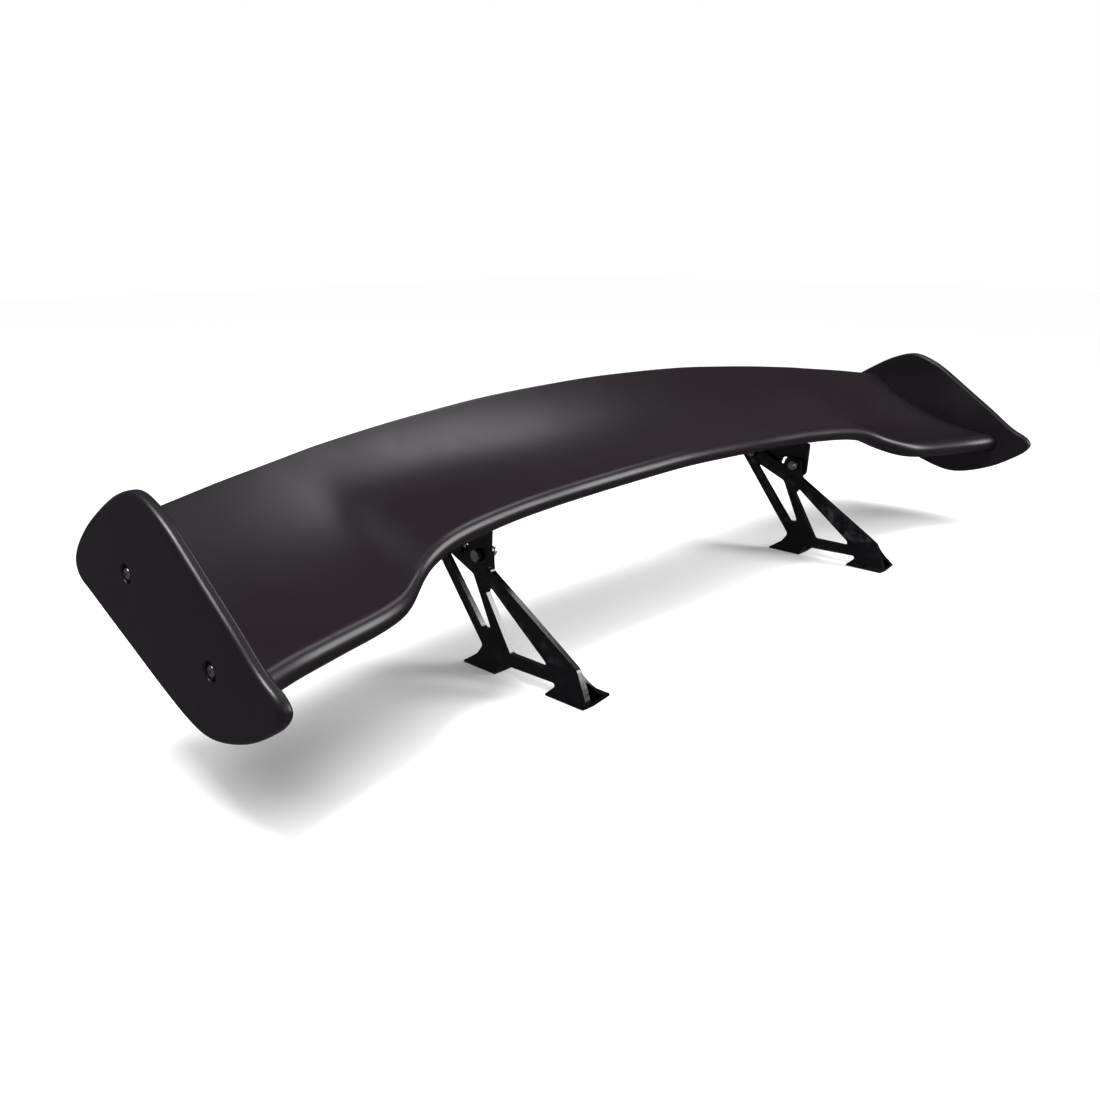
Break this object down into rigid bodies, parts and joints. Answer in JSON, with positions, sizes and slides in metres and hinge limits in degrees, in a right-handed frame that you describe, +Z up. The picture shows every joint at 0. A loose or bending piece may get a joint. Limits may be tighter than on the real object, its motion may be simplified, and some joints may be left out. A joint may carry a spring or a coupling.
{
  "type": "rear wing",
  "caption": "Car rear wing: arched hollow blade between end plates, on truss legs with a pivot bolt and a slotted angle lock.",
  "frame": {"origin": "on the deck plane, under the middle of the wing's bounding box", "axes": "+X along the span, +Y towards the rear of the car (trailing edge), +Z up"},
  "size_m": [1.45, 0.3752, 0.3025],
  "materials": {
    "blade_plastic": "satin moulded black",
    "plate_plastic": "satin moulded black",
    "leg_paint": "gloss black coated aluminium",
    "bright_steel": "bright zinc",
    "black_steel": "black zinc",
    "insert_brass": "plain",
    "gasket_rubber": "matt"
  },
  "bodies": {
    "legs": {"left_leg": "leg_paint", "left_pivot_bolt": "bright_steel", "left_pivot_washers": "black_steel", "left_pivot_nut": "bright_steel", "left_lock_bolt": "bright_steel", "left_lock_washers": "black_steel", "left_lock_nut": "bright_steel", "right_leg": "leg_paint", "right_pivot_bolt": "bright_steel", "right_pivot_washers": "black_steel", "right_pivot_nut": "bright_steel", "right_lock_bolt": "bright_steel", "right_lock_washers": "black_steel", "right_lock_nut": "bright_steel"},
    "wing": {"wing_blade": "blade_plastic", "left_end_plate": "plate_plastic", "left_end_plate_screws": "bright_steel", "left_end_plate_washers": "black_steel", "left_blade_end_inserts": "insert_brass", "left_wing_bracket": "leg_paint", "left_bracket_gasket": "gasket_rubber", "left_bracket_inserts": "insert_brass", "left_bracket_screws": "bright_steel", "right_end_plate": "plate_plastic", "right_end_plate_screws": "bright_steel", "right_end_plate_washers": "black_steel", "right_blade_end_inserts": "insert_brass", "right_wing_bracket": "leg_paint", "right_bracket_gasket": "gasket_rubber", "right_bracket_inserts": "insert_brass", "right_bracket_screws": "bright_steel"}
  },
  "joints": [
    {"name": "wing_tilt", "type": "hinge", "parent": "legs", "child": "wing", "pos_m": [0, 0.026, 0.143], "axis": [1, 0, 0], "range_deg": [-5, 8]}
  ]
}
